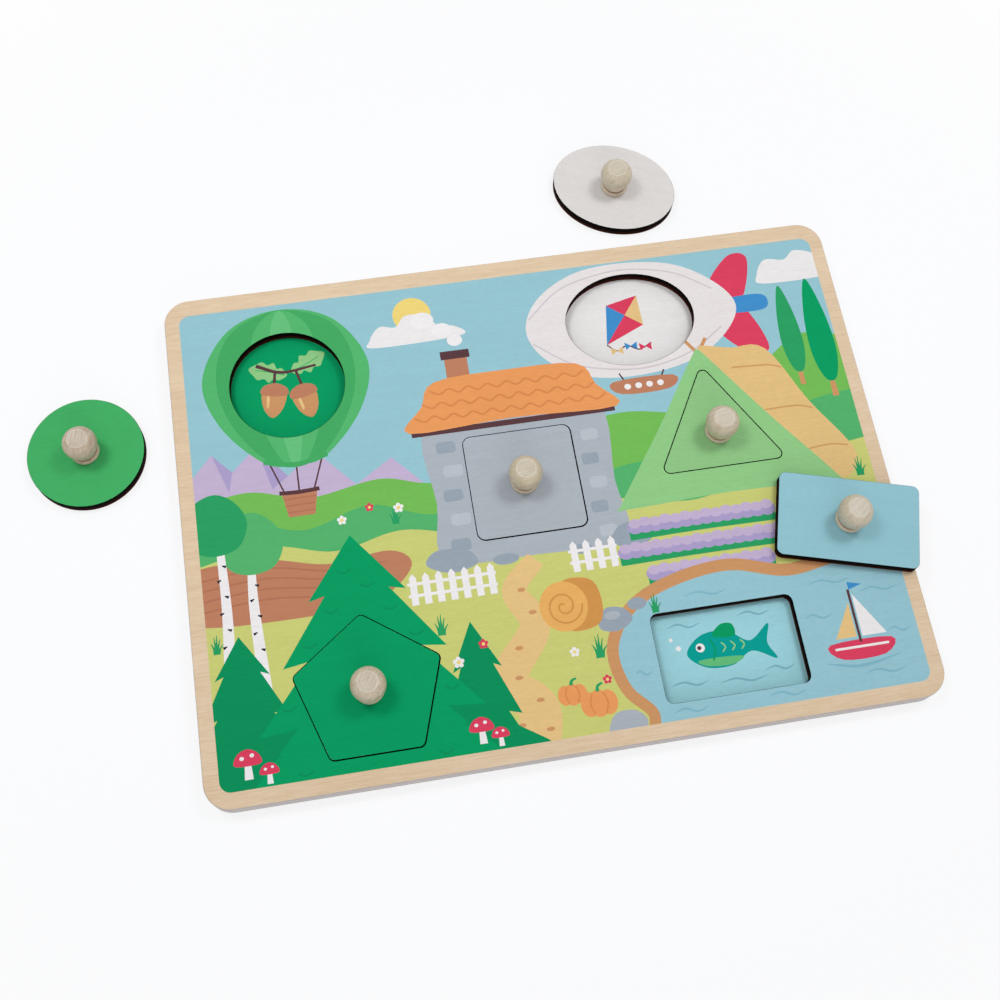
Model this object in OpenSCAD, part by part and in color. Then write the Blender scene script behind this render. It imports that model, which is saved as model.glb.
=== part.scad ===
// Peg puzzle: a board of two glued plywood sheets, and six shaped plates cut from the top sheet,
// each with a turned knob that is screwed on from below. The square, the triangle and the pentagon
// sit in their cut-outs. The circle and the oval lie beside the board, and the rectangle lies on it,
// across its right edge.
// Origin: the centre of the board's underside. +X runs along the board, +Y to its back edge, +Z up.

/* [Board] */
// Length of the board, left to right
board_l = 300; // [280:1:340]
// Width of the board, front to back
board_w = 222.5; // [210:0.5:250]
// Thickness of the base sheet
base_t = 5; // [3:0.5:8]
// Thickness of the top sheet, and so of the plates cut from it
sheet_t = 5; // [4.5:0.5:7]
// Radius of the board's corners, seen from above
board_corner_r = 11; // [6:0.5:16]
// Rounding of the board's upper and lower rim
board_edge_r = 0.8; // [0.4:0.1:1.4]
// Gap all round between a plate and its cut-out
cut_gap = 0.25; // [0.15:0.05:0.4]

/* [Plates] */
// Diameter of the circle
circle_d = 49.2; // [44:0.1:54]
// Length of the oval
oval_l = 57.5; // [50:0.1:62]
// Width of the oval
oval_w = 44.7; // [40:0.1:50]
// Side of the square
square_l = 46.7; // [40:0.1:50]
// Corner radius of the square
square_corner_r = 3.5; // [2:0.5:6]
// Side of the triangle, measured between its sharp corners
triangle_l = 55.4; // [50:0.1:59]
// Corner radius of the triangle
triangle_corner_r = 2.5; // [2:0.5:6]
// Distance of the triangle's knob to the right of its plate's centre
triangle_knob_right = 0.8; // [0:0.1:2]
// Side of the pentagon, measured between its sharp corners
pentagon_l = 36.9; // [32:0.1:39]
// Corner radius of the pentagon
pentagon_corner_r = 2.5; // [2:0.5:6]
// Length of the rectangle
rectangle_l = 59.7; // [54:0.1:64]
// Width of the rectangle
rectangle_w = 36.8; // [32:0.1:40]
// Corner radius of the rectangle
rectangle_corner_r = 3; // [2:0.5:6]

/* [Knobs] */
// Height of a knob above its plate
knob_h = 15.5; // [14:0.5:20]
// Widest diameter of the head
knob_d = 14.3; // [12.6:0.1:16]
// Height of the head's widest line
knob_wide_z = 10.4; // [8:0.1:11]
// Diameter of the flat on top of the head
knob_flat_d = 8.6; // [6:0.1:10]
// Height at which the head starts, on its collar
head_z = 4.4; // [4.4:0.1:6]
// Diameter of the collar under the head
collar_d = 10.6; // [10:0.1:12]
// Rounding of the collar's lower edge
collar_edge_r = 0.4; // [0.2:0.1:0.5]
// Diameter at the bottom of the groove between the collar and the foot bead
groove_d = 8.8; // [8:0.1:9.2]
// Height of the groove
groove_h = 0.6; // [0.3:0.1:0.8]
// Diameter of the foot bead
foot_d = 12.2; // [11:0.1:13]
// Height of the foot bead
foot_h = 2.5; // [1.6:0.1:2.9]

/* [Screws] */
// Length of a screw
screw_l = 12; // [10:0.5:13]
// Diameter over the thread
screw_d = 3; // [2.5:0.1:3.5]
// Diameter of the thread's root
screw_root_d = 2.1; // [1.6:0.1:2.3]
// Pitch of the thread
screw_pitch = 1.2; // [0.8:0.1:1.5]
// Length of the point
screw_tip_l = 2; // [1:0.1:3]
// Diameter of the countersunk head
screw_head_d = 5.8; // [5:0.1:7]
// Depth of the head below the plate's underside
screw_sink = 0.3; // [0.1:0.05:0.5]
// Length of an arm of the driver's cross, tip to tip
cross_l = 3.2; // [2.5:0.1:4]
// Width of an arm of the driver's cross
cross_w = 0.7; // [0.5:0.05:1]
// Depth of the driver's cross
cross_depth = 0.9; // [0.5:0.05:1]
// Radial gap round the thread, in the plate and in the knob
screw_gap = 0.06; // [0.03:0.01:0.1]
// Depth that the pilot hole runs past the point
pilot_extra = 0.8; // [0.3:0.1:2]

/* [Places] */
// Free gap between the board's left edge and the circle beside it
circle_out = 13.3; // [5:0.1:30]
// Distance of the loose circle behind the board's centre line
circle_back = 47.5; // [0:0.1:80]
// Free gap between the board's back edge and the oval behind it
oval_out = 11.2; // [5:0.1:30]
// Distance of the loose oval to the right of the board's centre line
oval_right = 61.6; // [0:0.1:100]
// Turn of the loose oval
oval_turn = -24.4; // [-90:0.1:90]
// Distance of the loose rectangle's centre inside the board's right edge
rectangle_in = 24.3; // [15:0.1:32]
// Distance of the loose rectangle in front of the board's centre line
rectangle_front = 34.4; // [30:0.1:45]
// Turn of the loose rectangle
rectangle_turn = -15.4; // [-20:0.1:0]

/* [Hidden] */
$fn = 96;

board_h = base_t + sheet_t;
// Overrun of every cut past the face that it opens
over = 1;
// Depth by which an arc stands proud of the straight side that it runs into
seam = 0.002;

// Centres of the cut-outs, as shares of the board's length and width
circle_home_shares = [-0.3328, 0.2891];
oval_home_shares = [0.1804, 0.3331];
triangle_home_shares = [0.2685, 0.0675];
square_home_shares = [-0.0186, 0.0209];
pentagon_home_shares = [-0.272, -0.3307];
rectangle_home_shares = [0.2167, -0.3561];
// Shift of the seated square and pentagon towards the back left, as shares of the gap round them
lean_shares = [-0.4, 0.6];

// Half the depth, front to back, of the oval as it lies turned
oval_half_depth = sqrt(pow(oval_l / 2 * sin(oval_turn), 2) + pow(oval_w / 2 * cos(oval_turn), 2));

lean = cut_gap * [lean_shares[0], lean_shares[1], 0];

// Where the knobs' axes stand: x, y, and the height of the plate's underside
circle_at = [-board_l / 2 - circle_out - circle_d / 2, circle_back, 0];
oval_at = [oval_right, board_w / 2 + oval_out + oval_half_depth, 0];
triangle_at = seat(triangle_home_shares) + [triangle_knob_right, 0, 0];
square_at = seat(square_home_shares) + lean;
pentagon_at = seat(pentagon_home_shares) + lean;
rectangle_at = [board_l / 2 - rectangle_in, -rectangle_front, board_h];

// Radii of the two arcs of the head, which meet upright at its widest line
lower_r = arc_r(knob_wide_z - head_z, (knob_d - collar_d) / 2);
upper_r = arc_r(knob_h - knob_wide_z, (knob_d - knob_flat_d) / 2);

// The head is a 90 degree cone, so it is as high as its radius outside the thread
screw_head_h = (screw_head_d - screw_d) / 2;
thread_l = screw_l - screw_head_h - screw_tip_l;
thread_turns = floor(thread_l / screw_pitch);
pilot_l = screw_sink + screw_l - sheet_t + pilot_extra;

ply_tan = "#ddc6ac";
knob_tan = "#d8cab4";

// A cut-out's centre on the board, at the floor of the cut-out
function seat(shares) = [shares[0] * board_l, shares[1] * board_w, base_t];

// Radius of an arc that drops away by drop over a run that starts square to the drop
function arc_r(run, drop) = run * run / (2 * drop) + drop / 2;

// Direction of the turn i of n, counted anticlockwise from the back
function bearing(i, n) = [-sin(360 * i / n), cos(360 * i / n)];

// Outlines, seen from above. Each grows by gap all round.

module rounded_rectangle(l, w, r) {
  square([l - 2 * r, w], center = true);
  square([l, w - 2 * r], center = true);
  for (x = [-1, 1], y = [-1, 1]) {
    translate([x * (l / 2 - r), y * (w / 2 - r)]) circle(r);
  }
}

// Regular polygon of n sides, each l long between sharp corners, with its corners rounded to r
module rounded_polygon(n, l, r, gap) {
  side_r = l / 2 / tan(180 / n);
  centre_r = (side_r - r) / cos(180 / n);
  // The sides run between the arcs' ends, sunk by seam so that each arc crosses its sides cleanly
  polygon([
    for (i = [0 : n - 1], side = [-0.5, 0.5])
      centre_r * bearing(i, n) + (r + gap - seam) * bearing(i + side, n)
  ]);
  for (i = [0 : n - 1]) {
    translate(centre_r * bearing(i, n)) circle(r + gap);
  }
}

module circle_shape(gap = 0) {
  circle(d = circle_d + 2 * gap);
}

module oval_shape(gap = 0) {
  scale([oval_l / 2 + gap, oval_w / 2 + gap]) circle(1);
}

module triangle_shape(gap = 0) {
  rounded_polygon(3, triangle_l, triangle_corner_r, gap);
}

module square_shape(gap = 0) {
  rounded_rectangle(square_l + 2 * gap, square_l + 2 * gap, square_corner_r + gap);
}

module pentagon_shape(gap = 0) {
  rounded_polygon(5, pentagon_l, pentagon_corner_r, gap);
}

module rectangle_shape(gap = 0) {
  rounded_rectangle(rectangle_l + 2 * gap, rectangle_w + 2 * gap, rectangle_corner_r + gap);
}

// The board

// A sheet of the board, t thick, with its outer rim rounded along the top
module eased_sheet(t) {
  inner_r = board_corner_r - board_edge_r;
  rim_z = t - board_edge_r;
  linear_extrude(rim_z) rounded_rectangle(board_l, board_w, board_corner_r);
  linear_extrude(t) rounded_rectangle(board_l - 2 * board_edge_r, board_w - 2 * board_edge_r, inner_r);
  for (turn = [0, 180]) {
    rotate(turn) {
      rim_bar(board_l, board_w, rim_z);
      rim_corner(board_l, board_w, rim_z);
      rotate(90) {
        rim_bar(board_w, board_l, rim_z);
        rim_corner(board_w, board_l, rim_z);
      }
    }
  }
}

// Round bar along the straight part of the rim that faces +X
module rim_bar(l, w, z) {
  bar_l = w - 2 * board_corner_r;
  translate([l / 2 - board_edge_r, bar_l / 2, z])
    rotate([90, 0, 0]) linear_extrude(bar_l) circle(board_edge_r);
}

// Quarter ring that carries the bar round the corner at +X, +Y
module rim_corner(l, w, z) {
  translate([l / 2 - board_corner_r, w / 2 - board_corner_r, z])
    rotate_extrude(angle = 90) translate([board_corner_r - board_edge_r, 0]) circle(board_edge_r);
}

module base_board() {
  color(ply_tan) translate([0, 0, base_t]) mirror([0, 0, 1]) eased_sheet(base_t);
}

module top_board() {
  color(ply_tan) translate([0, 0, base_t]) difference() {
    eased_sheet(sheet_t);
    cut_out(circle_home_shares) circle_shape(cut_gap);
    cut_out(oval_home_shares) oval_shape(cut_gap);
    cut_out(triangle_home_shares) triangle_shape(cut_gap);
    cut_out(square_home_shares) square_shape(cut_gap);
    cut_out(pentagon_home_shares) pentagon_shape(cut_gap);
    cut_out(rectangle_home_shares) rectangle_shape(cut_gap);
  }
}

module cut_out(shares) {
  translate([shares[0] * board_l, shares[1] * board_w, -over]) linear_extrude(sheet_t + 2 * over) children();
}

// What a shaped piece is made of, standing on its underside at z = 0

// Plate with the hole and the countersink of its screw
module plate() {
  sink_r = screw_head_d / 2 + screw_gap;
  hole_r = screw_d / 2 + screw_gap;
  difference() {
    linear_extrude(sheet_t) children();
    translate([0, 0, -over]) cylinder(h = sheet_t + 2 * over, r = hole_r);
    translate([0, 0, -over]) cylinder(h = over + screw_sink, r = sink_r);
    translate([0, 0, screw_sink]) cylinder(h = sink_r - hole_r, r1 = sink_r, r2 = hole_r);
  }
}

// Turned knob, with its foot on the plate and a pilot hole up its middle
module knob() {
  translate([0, 0, sheet_t]) difference() {
    rotate_extrude() knob_profile();
    translate([0, 0, -over]) cylinder(h = pilot_l + over, r = screw_d / 2 + screw_gap);
  }
}

// Half profile of a knob: foot bead, groove, collar, and a head of two arcs under a flat. The lower arc
// runs on inside the collar, so that it crosses the collar's side cleanly.
module knob_profile() {
  bead_r = foot_h / 2;
  collar_z = foot_h + groove_h;
  inner_z = (collar_z + head_z) / 2;
  translate([foot_d / 2 - bead_r, bead_r]) circle(bead_r);
  square([foot_d / 2 - bead_r, foot_h]);
  square([groove_d / 2, head_z]);
  translate([collar_d / 2 - collar_edge_r, collar_z + collar_edge_r]) circle(collar_edge_r);
  translate([0, collar_z]) square([collar_d / 2 - collar_edge_r, head_z - collar_z]);
  translate([0, collar_z + collar_edge_r]) square([collar_d / 2, head_z - collar_z]);
  intersection() {
    translate([knob_d / 2 - lower_r, knob_wide_z]) circle(lower_r);
    translate([0, inner_z]) square([knob_d, knob_wide_z - inner_z]);
  }
  intersection() {
    translate([knob_d / 2 - upper_r, knob_wide_z]) circle(upper_r);
    translate([0, knob_wide_z]) square([knob_d, knob_h - knob_wide_z]);
  }
}

// Countersunk wood screw, driven up from the underside
module screw() {
  translate([0, 0, screw_sink]) difference() {
    rotate_extrude() screw_profile();
    translate([0, 0, cross_depth / 2]) cube([cross_l, cross_w, cross_depth], center = true);
    translate([0, 0, cross_depth / 2]) cube([cross_w, cross_l, cross_depth], center = true);
  }
}

// Half profile of a screw: head, thread as a row of ridges, and point
module screw_profile() {
  root_r = screw_root_d / 2;
  thread_r = screw_d / 2;
  shank_z = screw_l - screw_tip_l - thread_turns * screw_pitch;
  ridges = [
    for (i = [0 : thread_turns - 1])
      each [[root_r, shank_z + i * screw_pitch], [thread_r, shank_z + (i + 0.5) * screw_pitch]]
  ];
  polygon(concat(
    [[0, 0], [screw_head_d / 2, 0], [thread_r, screw_head_h], [thread_r, shank_z]],
    ridges,
    [[root_r, screw_l - screw_tip_l], [0, screw_l]]
  ));
}

// The six shaped pieces, each where it lies

module circle_plate() {
  color("#4bb269") translate(circle_at) plate() circle_shape();
}

module circle_knob() {
  color(knob_tan) translate(circle_at) knob();
}

module circle_screw() {
  color("silver") translate(circle_at) screw();
}

module oval_plate() {
  color("#dedada") translate(oval_at) rotate(oval_turn) plate() oval_shape();
}

module oval_knob() {
  color(knob_tan) translate(oval_at) rotate(oval_turn) knob();
}

module oval_screw() {
  color("silver") translate(oval_at) rotate(oval_turn) screw();
}

module triangle_plate() {
  color("#92cb89") translate(triangle_at) plate() translate([-triangle_knob_right, 0]) triangle_shape();
}

module triangle_knob() {
  color(knob_tan) translate(triangle_at) knob();
}

module triangle_screw() {
  color("silver") translate(triangle_at) screw();
}

module square_plate() {
  color("#acb4be") translate(square_at) plate() square_shape();
}

module square_knob() {
  color(knob_tan) translate(square_at) knob();
}

module square_screw() {
  color("silver") translate(square_at) screw();
}

module pentagon_plate() {
  color("#009e62") translate(pentagon_at) plate() pentagon_shape();
}

module pentagon_knob() {
  color(knob_tan) translate(pentagon_at) knob();
}

module pentagon_screw() {
  color("silver") translate(pentagon_at) screw();
}

module rectangle_plate() {
  color("#96c7d4") translate(rectangle_at) rotate(rectangle_turn) plate() rectangle_shape();
}

module rectangle_knob() {
  color(knob_tan) translate(rectangle_at) rotate(rectangle_turn) knob();
}

module rectangle_screw() {
  color("silver") translate(rectangle_at) rotate(rectangle_turn) screw();
}

base_board();
top_board();
circle_plate();
circle_knob();
circle_screw();
oval_plate();
oval_knob();
oval_screw();
triangle_plate();
triangle_knob();
triangle_screw();
square_plate();
square_knob();
square_screw();
pentagon_plate();
pentagon_knob();
pentagon_screw();
rectangle_plate();
rectangle_knob();
rectangle_screw();
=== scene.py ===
import math
from functools import partial

import bpy
import numpy as np
from mathutils import Matrix, Vector
from mathutils.geometry import delaunay_2d_cdt


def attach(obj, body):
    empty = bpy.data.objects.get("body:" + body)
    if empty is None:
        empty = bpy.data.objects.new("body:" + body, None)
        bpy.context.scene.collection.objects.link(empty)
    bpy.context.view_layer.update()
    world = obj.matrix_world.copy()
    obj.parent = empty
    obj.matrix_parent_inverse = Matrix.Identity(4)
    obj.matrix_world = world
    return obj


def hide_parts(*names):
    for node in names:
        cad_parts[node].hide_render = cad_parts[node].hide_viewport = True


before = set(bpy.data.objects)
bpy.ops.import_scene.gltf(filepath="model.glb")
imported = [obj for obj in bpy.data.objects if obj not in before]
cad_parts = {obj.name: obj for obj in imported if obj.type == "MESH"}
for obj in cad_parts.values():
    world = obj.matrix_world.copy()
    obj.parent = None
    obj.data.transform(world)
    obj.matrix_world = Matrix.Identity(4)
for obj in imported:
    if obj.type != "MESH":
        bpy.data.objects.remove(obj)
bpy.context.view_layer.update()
scene = bpy.context.scene
mm = 0.001

# A peg puzzle: a printed plywood board with six shaped cut-outs, and the knobbed plates cut from them.
# All lengths are in millimetres, in the frame of the CAD model, until a mesh is made.


# Colours and nodes

# sRGB hex to linear: below 0.04045 a straight line, above it a power of 2.4
def linear(hexColour):
    parts = np.array([int(hexColour[i:i + 2], 16) for i in (1, 3, 5)]) / 255
    parts = np.where(parts <= 0.04045, parts / 12.92, ((parts + 0.055) / 1.055) ** 2.4)
    return (*parts.tolist(), 1.0)


# Adds one node with its settings, and gives one of its outputs. A key of inputs is a socket's name or number,
# its value a number, a colour or an output. stops are a colour ramp's places and hex colours.
def addNode(tree, kind, inputs=None, output=0, stops=(), **settings):
    node = tree.nodes.new("ShaderNode" + kind)
    for key, value in settings.items():
        setattr(node, key, value)
    for key, value in (inputs or {}).items():
        if isinstance(value, bpy.types.NodeSocket):
            tree.links.new(value, node.inputs[key])
        else:
            node.inputs[key].default_value = value
    if stops:
        elements = node.color_ramp.elements
        for stop in stops[2:]:
            elements.new(0.5)
        for element, (place, colour) in zip(elements, stops):
            element.position, element.color = place, linear(colour)
    return node.outputs[output] if node.outputs else None


# A new material, and the function that adds nodes to it
def newMaterial(name):
    material = bpy.data.materials.new(name)
    material.use_nodes = True
    material.node_tree.nodes.clear()
    return material, partial(addNode, material.node_tree)


eased = {"interpolation_type": "SMOOTHSTEP"}  # a rise from 0 to 1 with soft ends
colourMix = {"output": 2, "data_type": "RGBA"}


# Ends a material: one Principled shader with a fine relief, into the output
def finishMaterial(add, look, colour, height):
    relief = add("Bump", {"Height": height, "Strength": look["relief"], "Distance": look["depth"] * mm})
    shader = add("BsdfPrincipled", {"Base Color": colour, "Roughness": look["roughness"],
                                    "Specular IOR Level": look["gloss"], "Normal": relief})
    add("OutputMaterial", {"Surface": shader})


# A natural pattern at its real scale: noise on Object coordinates, turned by -turn degrees and divided by size,
# the length, width and height of its cells in mm
def grain(add, size, turn=0, detail=2, roughness=0.5):
    place = add("TexCoord", output="Object")
    turned = add("Mapping", {"Vector": place, "Rotation": (0, 0, math.radians(-turn))})
    scaled = add("Mapping", {"Vector": turned, "Scale": tuple(1 / (s * mm) for s in size)})
    return add("TexNoise", {"Vector": scaled, "Scale": 1.0, "Detail": detail, "Roughness": roughness})


# Materials

veneer = {"pale": "#e3ceb3", "mid": "#dac2a5", "dark": "#d0b594", "fleck": "#c09a78", "fleckShare": 0.35,
          "fibre": (9, 0.4, 3), "band": (60, 5, 8), "bandShare": 0.3, "dash": (2.6, 0.34, 2)}


# Face veneer of birch plywood, sanded and left bare: pale, with fine fibres along the sheet, broad
# faint bands and short darker flecks
def veneerColour(add, turn=0):
    fibre = grain(add, veneer["fibre"], turn, 3, 0.6)
    tone = add("Mix", {0: veneer["bandShare"], 2: fibre, 3: grain(add, veneer["band"], turn)})
    colour = add("ValToRGB", {0: tone}, stops=((0.3, veneer["dark"]), (0.5, veneer["mid"]), (0.7, veneer["pale"])))
    dashes = grain(add, veneer["dash"], turn, 1)
    flecks = add("MapRange", {0: dashes, 1: 0.62, 2: 0.74, 4: veneer["fleckShare"]}, **eased)
    return add("Mix", {0: flecks, 6: colour, 7: linear(veneer["fleck"])}, **colourMix)


screenPrint = {"fine": (2.8, 0.34, 3), "broad": (30, 3, 8), "broadShare": 0.25, "ragged": (1.5, 1.5, 1.5),
               "gap": 0.28, "edge": 0.05, "shade": ((0.3, "#f0f0ee"), (0.7, "#ffffff")), "relief": 0.12,
               "depth": 0.05, "roughness": 0.6, "gloss": 0.05}


# Plywood with a thin matt screen print on top, which lets the fine grain through: a shade near white
# multiplies the ink. The ink stops a hair short of a cut, where the bare veneer shows as a thin pale line.
# The attribute fromEdge is the way in from the cut, in mm. Without an ink, the colour is the attribute print.
def printedTop(name, ink=None, turn=0):
    material, add = newMaterial(name)
    fine = grain(add, screenPrint["fine"], turn, 3, 0.6)
    both = add("Mix", {0: screenPrint["broadShare"], 2: fine, 3: grain(add, screenPrint["broad"], turn)})
    shade = add("ValToRGB", {0: both}, stops=screenPrint["shade"])
    if ink:
        colour, inked = linear(ink), 1.0
    else:
        colour = add("Attribute", output="Color", attribute_name="print")
        inked = add("Attribute", output="Fac", attribute_name="inked")
    printed = add("Mix", {0: 1.0, 6: colour, 7: shade}, **colourMix, blend_type="MULTIPLY")
    ragged = add("Math", {0: grain(add, screenPrint["ragged"]), 1: screenPrint["gap"]}, operation="MULTIPLY")
    fromEdge = add("Attribute", output="Fac", attribute_name="fromEdge")
    within = add("Math", {0: fromEdge, 1: ragged}, operation="SUBTRACT")
    inside = add("MapRange", {0: within, 2: screenPrint["edge"]}, **eased)
    cover = add("Math", {0: inside, 1: inked}, operation="MULTIPLY")
    colour = add("Mix", {0: cover, 6: veneerColour(add, turn), 7: printed}, **colourMix)
    finishMaterial(add, screenPrint, colour, fine)
    return material


laserCut = {"stops": ((0.1, "#050303"), (0.5, "#0c0504"), (0.85, "#46190e"), (1.0, "#280d08")), "streak": "#38150c",
            "marks": (0.45, 0.45, 12), "plies": (6, 6, 0.7), "plyShare": 0.35, "relief": 0.4, "depth": 0.1,
            "roughness": 0.85, "gloss": 0.03}


# Edge cut by a laser: scorched almost black at the top, dark red-brown lower down, with fine upright
# marks of the beam. The depth below the top is read from fromEdge, which is negative there.
def burntEdge(name):
    material, add = newMaterial(name)
    fromEdge = add("Attribute", output="Fac", attribute_name="fromEdge")
    depth = add("Math", {0: fromEdge, 1: -1 / board["sheet"]}, operation="MULTIPLY")
    marks = grain(add, laserCut["marks"])
    plies = add("Math", {0: grain(add, laserCut["plies"]), 1: 0.5}, operation="SUBTRACT")
    mixed = add("Math", {0: plies, 1: laserCut["plyShare"], 2: depth}, operation="MULTIPLY_ADD")
    colour = add("ValToRGB", {0: mixed}, stops=laserCut["stops"])
    marked = add("MapRange", {0: marks, 1: 0.5, 2: 0.9}, **eased)
    deep = add("MapRange", {0: depth, 1: 0.15, 2: 0.5}, **eased)
    lower = add("Math", {0: marked, 1: deep}, operation="MULTIPLY")
    streaked = add("Mix", {0: lower, 6: colour, 7: linear(laserCut["streak"])}, **colourMix)
    finishMaterial(add, laserCut, streaked, marks)
    return material


# The sides' stops hold painted shade: the birch greyed and cooled as the soft light shows the sides
sanded = {"stops": ((0.15, "#b2aba8"), (0.5, "#c3bbb7"), (0.85, "#d3cbc6")), "ply": 1.667, "waver": 0.5,
          "waves": (25, 25, 3), "fibre": (2.5, 2.5, 0.25), "relief": 0.15, "depth": 0.05, "roughness": 0.66,
          "gloss": 0.2}


# Sanded outer edge of the board: plies of about 1.7 mm, every second one end grain and so darker, as the sine
# of the height shows them. The sides are painted a grey mauve, greyer and cooler than the veneer: painted
# shade with a cool cast of the light. Level faces are plain veneer.
def sandedEdge(name):
    material, add = newMaterial(name)
    height = add("SeparateXYZ", {0: add("TexCoord", output="Object")}, 2)
    waves = grain(add, sanded["waves"])
    wobble = add("Math", {0: waves, 1: sanded["waver"] * mm, 2: height}, operation="MULTIPLY_ADD")
    turns = add("Math", {0: wobble, 1: math.pi / (sanded["ply"] * mm)}, operation="MULTIPLY")
    plies = add("MapRange", {0: add("Math", {0: turns}, operation="SINE"), 1: -0.35, 2: 0.35}, **eased)
    fibre = grain(add, sanded["fibre"], 0, 3, 0.7)
    side = add("ValToRGB", {0: add("Mix", {0: 0.5, 2: plies, 3: fibre})}, stops=sanded["stops"])
    normal = add("SeparateXYZ", {0: add("NewGeometry", output="Normal")}, 2)
    level = add("MapRange", {0: add("Math", {0: normal}, operation="ABSOLUTE"), 1: 0.35, 2: 0.9}, **eased)
    finishMaterial(add, sanded, add("Mix", {0: level, 6: side, 7: veneerColour(add)}, **colourMix), fibre)
    return material


# Each share is how strongly that colour covers the wood. The flat's grey, the groove's brown and the pale tint
# on the flat's edge are painted light: a painted sheen, a painted shade line and a painted highlight.
beech = {"pale": "#d3c8b2", "tone": (8, 1.1, 2.2), "fibre": "#966c53", "fibreSize": (5, 0.26, 0.36), "ring": 1.3,
         "ringWander": (4, 4, 4), "ringWaver": 1.1, "ringShare": 0.12, "flat": "#b9bbba", "flatShare": 0.2,
         "flatEdgeHighlight": "#e9e4d9", "flatEdgeHighlightShare": 0.2, "groove": "#a8794f", "grooveShare": 0.75, "relief": 0.25,
         "depth": 0.015, "roughness": 0.42, "gloss": 0.34}


# Turned beech under a satin clear coat: greyish cream, thin reddish-brown fibres that run across the
# knob, and fine rings left by the tool, as the sine of the way along the profile. The attribute along is that
# way, in mm. groove is 1 in the groove between foot and head, which holds a darker line: painted shade, where
# the groove lies in shadow. flat is 1 on the sanded flat, which is painted greyer: a painted sheen of the flat
# that faces up. A third attribute is 1 on the edge of the flat, which is painted paler: a painted highlight
# where the edge catches the light.
def turnedBeech(name, mid, dark, turn, streaks):
    material, add = newMaterial(name)
    tone = grain(add, beech["tone"], turn, 3, 0.6)
    colour = add("ValToRGB", {0: tone}, stops=((0.24, dark), (0.5, mid), (0.8, beech["pale"])))
    fibres = grain(add, beech["fibreSize"], turn, 2, 0.6)
    covers = [("fibre", add("MapRange", {0: fibres, 1: 0.56, 2: 0.70, 4: streaks}, **eased))]
    along = add("Attribute", output="Fac", attribute_name="along")
    wander = grain(add, beech["ringWander"], 0, 1)
    way = add("Math", {0: wander, 1: beech["ringWaver"], 2: along}, operation="MULTIPLY_ADD")
    turns = add("Math", {0: way, 1: 2 * math.pi / beech["ring"]}, operation="MULTIPLY")
    waves = add("Math", {0: turns}, operation="SINE")
    covers.append(("fibre", add("MapRange", {0: waves, 1: 0.2, 4: beech["ringShare"]}, **eased)))
    for zone in ("flat", "flatEdgeHighlight", "groove"):
        within = add("Attribute", output="Fac", attribute_name=zone)
        covers.append((zone, add("Math", {0: within, 1: beech[zone + "Share"]}, operation="MULTIPLY")))
    for tint, cover in covers:
        colour = add("Mix", {0: cover, 6: colour, 7: linear(beech[tint])}, **colourMix)
    finishMaterial(add, beech, colour, waves)
    return material


# Bright zinc on a steel screw: bluish silver with a faint mottle
def zincPlate(name):
    material, add = newMaterial(name)
    mottle = grain(add, (0.6, 0.6, 0.6), 0, 3)
    colour = add("ValToRGB", {0: mottle}, stops=((0.3, "#b4b8bc"), (0.7, "#d2d5d8")))
    roughness = add("MapRange", {0: mottle, 3: 0.24, 4: 0.42})
    shader = add("BsdfPrincipled", {"Base Color": colour, "Metallic": 1.0, "Roughness": roughness})
    add("OutputMaterial", {"Surface": shader})
    return material


# Outlines, all anticlockwise seen from above, as arrays of x and y

# Turned anticlockwise about the origin
def turned(points, degrees):
    c, s = math.cos(math.radians(degrees)), math.sin(math.radians(degrees))
    return points @ np.array([[c, s], [-s, c]])


# Arcs about the corner centres, spanned by straight sides with their own points
def arcsAndSides(centres, bearings, half, r, arcSteps, sideSteps):
    angles = np.radians(bearings[:, None] + np.linspace(-half, half, arcSteps)[None, :])
    arcs = centres[:, None, :] + r * np.stack([np.cos(angles), np.sin(angles)], 2)
    t = np.linspace(0, 1, sideSteps + 2)[1:-1][None, :, None]
    sides = arcs[:, -1:] * (1 - t) + np.roll(arcs, -1, 0)[:, :1] * t
    return np.concatenate([arcs, sides], 1).reshape(-1, 2)


# A rounded rectangle: quarter circles about the corners of a smaller one
def rectangleOutline(size, gap=0.0):
    l, w, r = size
    signs = np.array([[1, 1], [-1, 1], [-1, -1], [1, -1]])
    return arcsAndSides(signs * [l / 2 - r, w / 2 - r], np.array([45, 135, 225, 315]), 45, r + gap, 13, 11)


# A rounded regular polygon of n sides, each `side` long between sharp corners
def polygonOutline(size, gap=0.0):
    n, side, r = size
    out = (side / 2 / math.tan(math.pi / n) - r) / math.cos(math.pi / n)
    bearings = 90 + 360 * np.arange(n) / n
    centres = out * np.stack([np.cos(np.radians(bearings)), np.sin(np.radians(bearings))], 1)
    return arcsAndSides(centres, bearings, 180 / n, r + gap, 13, 15)


# An ellipse, stretched by the gap in both directions
def ovalOutline(size, gap=0.0):
    a = np.linspace(0, 2 * np.pi, 160, endpoint=False)
    return np.stack([(size[0] / 2 + gap) * np.cos(a), (size[1] / 2 + gap) * np.sin(a)], 1)


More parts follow.
